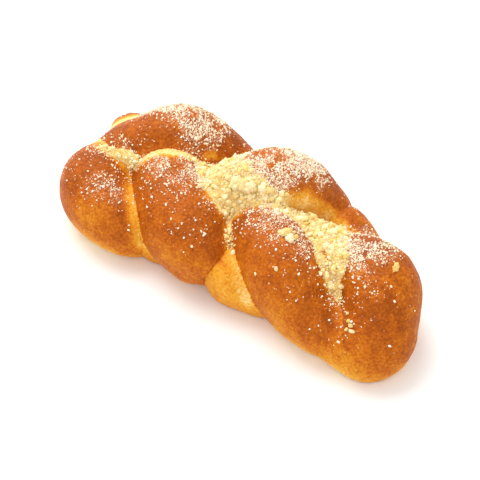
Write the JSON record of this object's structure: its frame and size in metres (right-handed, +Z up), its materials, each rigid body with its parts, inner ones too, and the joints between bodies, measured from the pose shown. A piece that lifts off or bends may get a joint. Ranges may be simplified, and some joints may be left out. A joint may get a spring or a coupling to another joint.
{
  "type": "braided loaf",
  "caption": "Whole braided sweet loaf of yeast dough with a browned, egg-washed crust under sugary crumbs, flat below where it lay on the tray.",
  "frame": {"origin": "centre of the loaf's box at its flat base, on the surface it lies on", "axes": "+X along the loaf towards the end where the braid was finished, -Y towards the shown long side, +Z up"},
  "size_m": [0.2562, 0.121, 0.0624],
  "materials": {
    "crust": "egg-washed browned bread crust, satin, paler in the folds"
  },
  "bodies": {
    "root": {"braided_loaf": "crust"}
  },
  "joints": []
}
